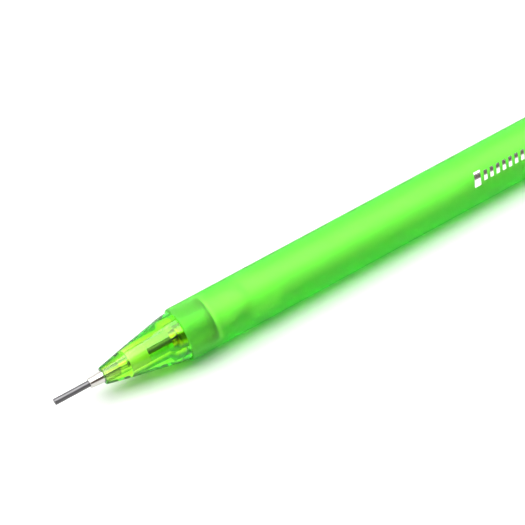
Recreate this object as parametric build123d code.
"""Push-button lead holder for 1.3 mm leads, with a clear screwed-on nose and a frosted barrel.

Everything is in millimetres. The pencil lies along X with its point towards -X.
The origin is on the axis, where the parallel wall of the barrel begins, just behind
the rounded rim that the nose seats against.
"""
import os
from math import cos, pi, sin

from build123d import *

# ---- leads ----
lead_r = 0.65
lead_length = 60.0
lead_exposed = 7.5
lead_clearance = 0.03
spare_count = 3
spare_room = 0.5             # left in front of the stored leads
spare_ring_r = 1.45          # circle that the stored leads lie on, round the lead in use

# ---- barrel ----
barrel_r = 5.5
barrel_length = 113.0
barrel_bore_r = 4.15
rim_round = 0.3
tail_round = 1.0
collar_bore_r = 4.5          # front counterbore that takes the nose's threaded collar
collar_depth = 7.2
mouth_r = 4.02               # rear lip that guides the button
mouth_length = 3.0
mouth_taper = 0.5
mouth_bevel = 0.25

# ---- nose cone ----
nose_length = 16.85
nose_front_r = 1.55
nose_corner = (0.28, 1.83)   # end of the rounded front corner: distance behind the front face, radius
nose_middle = (5.4, 2.955)
nose_shoulder = (14.27, 4.72)
nose_base_r = 4.96
nose_base_start = 16.6
collar_r = 4.45
collar_length = 6.4
collar_bevel = 0.3
guide_bore_r = 1.05
chamber_start = 5.4          # the retainer's chamber, measured behind the front face
chamber_r = 2.07
ring_bore_r = 2.8            # wider bore behind the chamber, where the ring travels
ring_stop_start = 13.55      # cone from the chamber out to the ring's bore, measured behind the front face
ring_stop_length = 0.85
sleeve_clearance = 0.3

# ---- lead guide and retainer ----
guide_length = 2.95
guide_tip_r = 1.015
guide_base_r = 1.22
guide_tip_bevel = 0.12
shank_length = 5.3
shank_bevel = 0.2
shank_groove_start = 3.5     # behind the nose's front face
shank_groove_width = 0.2
shank_groove_depth = 0.08
fit = 0.02                   # radial room in the close fits
retainer_length = 4.1
retainer_mouth_r = 1.4
retainer_funnel = 1.2

# ---- clutch ----
chuck_head_r = 1.7
chuck_head_length = 0.7      # parallel front of the head, before the cone
chuck_head_bevel = 0.25
chuck_cone_length = 4.05
chuck_shank_r = 1.3
chuck_length = 18.35
chuck_front = 2.4            # how far the jaws stand in front of the barrel's rim
chuck_grip_length = 6.2      # close bore that holds the lead
chuck_relief = 0.2           # extra bore radius behind it
chuck_relief_taper = 0.5
jaw_count = 3
jaw_slot = 0.3
jaw_slot_length = 11.8
ring_r = 2.2
ring_length = 3.1
ring_front = 0.9             # how far the ring stands in front of the barrel's rim
ring_bevel = 0.2

# ---- sleeve, spring and joint ----
sleeve_r = 2.75
sleeve_front = 0.7           # behind the rim
sleeve_length = 10.9
sleeve_ring_bore_r = 2.28
sleeve_wall_start = 1.7
sleeve_wall = 1.0
sleeve_wall_bore_r = 1.45
sleeve_bevel = 0.15
spring_bore_r = 2.25
flange_r = 4.4
flange_thickness = 0.8
wire_r = 0.2
spring_r = 1.8
spring_turns = 6
knock_travel = 3.0
joint_gap = 3.2              # from the sleeve's end to the joint's wide part
joint_spigot_r = 2.12
joint_spigot_reach = 1.6     # how far the spigot stands inside the sleeve
joint_r = 3.8
joint_bevel = 0.4
joint_length = 6.7
joint_taper = 1.6
joint_lip = 0.35             # wall left round the lead tube's socket
socket_length = 4.5
joint_passage_r = 0.95       # way through for the leads
passage_funnel = 0.4

# ---- lead tube and button ----
tube_r = 2.8
tube_bore_r = 2.3
tube_end = 109.9
plug_length = 5.0
plug_bevel = 0.4
cup_length = 4.1
cup_floor = 0.8
eraser_r = 2.35
eraser_length = 8.5
eraser_bevel = 0.4
cap_front = 103.9
cap_end = 121.7
cap_front_r = 3.9
cap_rear_r = 3.78
cap_bore_r = 3.05
cap_wall = 1.3
cap_round = 0.7
cap_bevel = 0.3
cap_rib_count = 6
cap_rib_width = 0.6
cap_rib_length = 13.0
cap_rib_start = 1.0          # behind the cap's open end
cap_rib_root = 0.3           # how deep each rib stands in the cap's wall
cap_rib_r = tube_r + fit
cap_vent_r = 0.6

# ---- places worked out from the dimensions above, along X ----
rim = -rim_round
nose_front = rim - nose_length
guide_tip = nose_front - guide_length
lead_tip = guide_tip - lead_exposed
collar_end = rim + collar_length
collar_shoulder = rim + collar_depth
sleeve_start = rim + sleeve_front
sleeve_end = sleeve_start + sleeve_length
wall_start = sleeve_start + sleeve_wall_start
wall_end = wall_start + sleeve_wall
spigot_front = sleeve_end - joint_spigot_reach
joint_front = sleeve_end + joint_gap
joint_end = joint_front + joint_length
socket_floor = joint_end - socket_length
chuck_tip = rim - chuck_front
cone_start = chuck_tip + chuck_head_length
chuck_end = chuck_tip + chuck_length
ring_start = rim - ring_front
ring_stop = nose_front + ring_stop_start
barrel_end = rim + barrel_length


def turned(*outline):
    """A solid turned about the X axis from a closed outline of (x, radius) corners."""
    corners = [(x, 0, radius) for x, radius in outline]
    return revolve(make_face(Polyline(*corners, close=True)), Axis.X)


def tube(start, end, outer_r, inner_r):
    """A plain round tube, or a rod where the inner radius is zero."""
    return turned((start, inner_r), (start, outer_r), (end, outer_r), (end, inner_r))


def circle_edge(body, x, radius):
    """The round edge of a turned body that lies at x with this radius."""
    circles = body.edges().filter_by(GeomType.CIRCLE)
    return [e for e in circles if abs(e.arc_center.X - x) < 0.001 and abs(e.radius - radius) < 0.001]


def barrel():
    """Outer tube, with a counterbore for the nose's collar, a shoulder, and a lip round the button."""
    body = turned(
        (rim, collar_bore_r),
        (rim, barrel_r),
        (barrel_end, barrel_r),
        (barrel_end, mouth_r),
        (barrel_end - mouth_length, mouth_r),
        (barrel_end - mouth_length - mouth_taper, barrel_bore_r),
        (collar_shoulder, barrel_bore_r),
        (collar_shoulder, collar_bore_r),
    )
    body = fillet(circle_edge(body, rim, barrel_r), rim_round)
    body = fillet(circle_edge(body, barrel_end, barrel_r), tail_round)
    return chamfer(circle_edge(body, barrel_end, mouth_r), mouth_bevel)


def nose_outline():
    """The nose's outer line: rounded corner, two tapers, a blend and a parallel base."""
    def at(point):
        return (nose_front + point[0], 0, point[1])

    base = at((nose_base_start, nose_base_r))
    round_r = nose_corner[1] - nose_front_r
    halfway = (round_r * (1 - cos(pi / 4)), nose_front_r + round_r * sin(pi / 4))
    corner = ThreePointArc(at((0, nose_front_r)), at(halfway), at(nose_corner))
    taper = Polyline(at(nose_corner), at(nose_middle), at(nose_shoulder))
    blend = TangentArc(at(nose_shoulder), base, tangent=taper % 1)
    return [corner, taper, blend, Line(base, (rim, 0, nose_base_r))]


def nose_cone():
    """Clear cone, stepped inside for the guide, the retainer, the ring and the sleeve, with a screw collar."""
    chamber = nose_front + chamber_start
    sleeve_room = sleeve_start - sleeve_clearance
    sleeve_room_r = sleeve_r + sleeve_clearance
    inside = Polyline(
        (rim, 0, nose_base_r),
        (rim, 0, collar_r),
        (collar_end, 0, collar_r),
        (collar_end, 0, sleeve_room_r),
        (sleeve_room, 0, sleeve_room_r),
        (sleeve_room, 0, ring_bore_r),
        (ring_stop + ring_stop_length, 0, ring_bore_r),
        (ring_stop, 0, chamber_r),
        (chamber, 0, chamber_r),
        (chamber, 0, guide_bore_r),
        (nose_front, 0, guide_bore_r),
        (nose_front, 0, nose_front_r),
    )
    body = revolve(make_face(nose_outline() + [inside]), Axis.X)
    return chamfer(circle_edge(body, collar_end, collar_r), collar_bevel)


def lead_guide():
    """Steel guide: a bright cone in front of the nose, and a shank with a locking groove pressed into it."""
    bore = lead_r + lead_clearance
    shank = guide_bore_r - fit
    shank_end = nose_front + shank_length
    body = turned(
        (guide_tip, bore),
        (guide_tip, guide_tip_r),
        (nose_front, guide_base_r),
        (nose_front, shank),
        (shank_end, shank),
        (shank_end, bore),
    )
    body = chamfer(circle_edge(body, guide_tip, guide_tip_r), guide_tip_bevel)
    body = chamfer(circle_edge(body, shank_end, bore), shank_bevel)
    groove_start = nose_front + shank_groove_start
    groove_end = groove_start + shank_groove_width
    return body - tube(groove_start, groove_end, guide_base_r, shank - shank_groove_depth)


def lead_retainer():
    """Soft sleeve that grips the lead, with a funnel behind that catches the next one."""
    start = nose_front + chamber_start
    end = start + retainer_length
    bore = lead_r + lead_clearance
    outer = chamber_r - fit
    return turned(
        (start, bore),
        (start, outer),
        (end, outer),
        (end, retainer_mouth_r),
        (end - retainer_funnel, bore),
    )


def chuck():
    """Brass clutch: a conical head that three slots split into jaws, and a shank pressed into the joint."""
    bore = lead_r + lead_clearance
    relief_start = chuck_tip + chuck_grip_length
    body = turned(
        (chuck_tip, bore + chuck_head_bevel),
        (chuck_tip, chuck_head_r - chuck_head_bevel),
        (chuck_tip + chuck_head_bevel, chuck_head_r),
        (cone_start, chuck_head_r),
        (cone_start + chuck_cone_length, chuck_shank_r),
        (chuck_end, chuck_shank_r),
        (chuck_end, bore + chuck_relief),
        (relief_start + chuck_relief_taper, bore + chuck_relief),
        (relief_start, bore),
        (chuck_tip + chuck_head_bevel, bore),
    )
    slot = Box(jaw_slot_length, jaw_slot, 2 * chuck_head_r)
    slot = Pos(chuck_tip + jaw_slot_length / 2, 0, chuck_head_r) * slot
    for jaw in range(jaw_count):
        body = body - Rot(X=360 / jaw_count * jaw) * slot
    return body


def chuck_ring():
    """Brass ring whose conical bore squeezes the jaws shut when the spring draws them back."""
    end = ring_start + ring_length

    def cone_r(x):
        along = (x - cone_start) / chuck_cone_length
        return chuck_head_r + (chuck_shank_r - chuck_head_r) * max(along, 0) + fit

    body = turned((ring_start, cone_r(ring_start)), (ring_start, ring_r), (end, ring_r), (end, cone_r(end)))
    return chamfer(circle_edge(body, ring_start, ring_r), ring_bevel)


def chuck_sleeve():
    """Sleeve that guides the clutch, with a wall for the spring and a flange that the nose clamps."""
    body = turned(
        (sleeve_start, sleeve_ring_bore_r),
        (sleeve_start, sleeve_r),
        (collar_end, sleeve_r),
        (collar_end, flange_r),
        (collar_end + flange_thickness, flange_r),
        (collar_end + flange_thickness, sleeve_r),
        (sleeve_end, sleeve_r),
        (sleeve_end, spring_bore_r),
        (wall_end, spring_bore_r),
        (wall_end, sleeve_wall_bore_r),
        (wall_start, sleeve_wall_bore_r),
        (wall_start, sleeve_ring_bore_r),
    )
    return chamfer(circle_edge(body, sleeve_end, sleeve_r), sleeve_bevel)


def return_spring():
    """Coil spring between the sleeve's wall and the joint's spigot, its wire drawn with six flats."""
    free_length = spigot_front - wall_end - 2 * wire_r
    pitch = free_length / spring_turns
    path = Helix(pitch, free_length, spring_r, center=(wall_end + wire_r, 0, 0), direction=(1, 0, 0))
    wire = Plane(origin=path @ 0, z_dir=path % 0) * RegularPolygon(wire_r, 6)
    return sweep(wire, path=path, is_frenet=True)


def tube_joint():
    """Joint that holds the clutch in front and the lead tube behind, and slides in the barrel."""
    chuck_socket = chuck_shank_r + fit
    body = turned(
        (spigot_front, chuck_socket),
        (spigot_front, joint_spigot_r),
        (joint_front, joint_spigot_r),
        (joint_front, joint_r),
        (joint_end - joint_taper, joint_r),
        (joint_end, tube_r + joint_lip),
        (joint_end, tube_r + fit),
        (socket_floor, tube_r + fit),
        (socket_floor, joint_passage_r + passage_funnel),
        (socket_floor - passage_funnel, joint_passage_r),
        (chuck_end, joint_passage_r),
        (chuck_end, chuck_socket),
    )
    return chamfer(circle_edge(body, joint_front, joint_r), joint_bevel)


def lead_tube():
    """Store for the spare leads, from the joint's socket to the eraser holder."""
    return tube(socket_floor, tube_end, tube_r, tube_bore_r)


def lead(start):
    """One round lead, cut square."""
    return tube(start, start + lead_length, lead_r, 0)


def eraser_holder():
    """Plug that closes the lead tube, with a thin cup that grips the eraser."""
    plug_start = tube_end - plug_length
    floor = tube_end + cup_floor
    body = turned(
        (plug_start, 0),
        (plug_start, tube_bore_r - fit),
        (tube_end, tube_bore_r - fit),
        (tube_end, tube_r - fit),
        (tube_end + cup_length, tube_r - fit),
        (tube_end + cup_length, eraser_r + fit),
        (floor, eraser_r + fit),
        (floor, 0),
    )
    return chamfer(circle_edge(body, plug_start, tube_bore_r - fit), plug_bevel)


def eraser():
    """White eraser, with a bevel round its free end."""
    start = tube_end + cup_floor
    body = tube(start, start + eraser_length, eraser_r, 0)
    return chamfer(circle_edge(body, start + eraser_length, eraser_r), eraser_bevel)


def button_cap():
    """Tapered push button, with ribs inside that grip the lead tube and a vent in its end."""
    floor = cap_end - cap_wall
    body = turned(
        (cap_front, cap_bore_r),
        (cap_front, cap_front_r),
        (cap_end, cap_rear_r),
        (cap_end, cap_vent_r),
        (floor, cap_vent_r),
        (floor, cap_bore_r),
    )
    body = fillet(circle_edge(body, cap_end, cap_rear_r), cap_round)
    body = chamfer(circle_edge(body, cap_front, cap_front_r), cap_bevel)
    rib_height = cap_bore_r - cap_rib_r + cap_rib_root
    rib_middle = cap_front + cap_rib_start + cap_rib_length / 2
    rib = Pos(rib_middle, 0, cap_rib_r + rib_height / 2) * Box(cap_rib_length, cap_rib_width, rib_height)
    for index in range(cap_rib_count):
        body = body + Rot(X=360 / cap_rib_count * index) * rib
    return body


pieces = {
    "barrel": barrel(),
    "nose_cone": nose_cone(),
    "lead_guide": lead_guide(),
    "lead_retainer": lead_retainer(),
    "active_lead": lead(lead_tip),
    "chuck": chuck(),
    "chuck_ring": chuck_ring(),
    "chuck_sleeve": chuck_sleeve(),
    "return_spring": return_spring(),
    "tube_joint": tube_joint(),
    "lead_tube": lead_tube(),
    "eraser_holder": eraser_holder(),
    "eraser": eraser(),
    "button_cap": button_cap(),
}
for index in range(spare_count):
    stored = Pos(0, 0, spare_ring_r) * lead(socket_floor + spare_room)
    pieces[f"spare_lead_{index + 1}"] = Rot(X=360 / spare_count * index) * stored

os.makedirs("parts", exist_ok=True)
for name, piece in pieces.items():
    export_step(piece, f"parts/{name}.step")
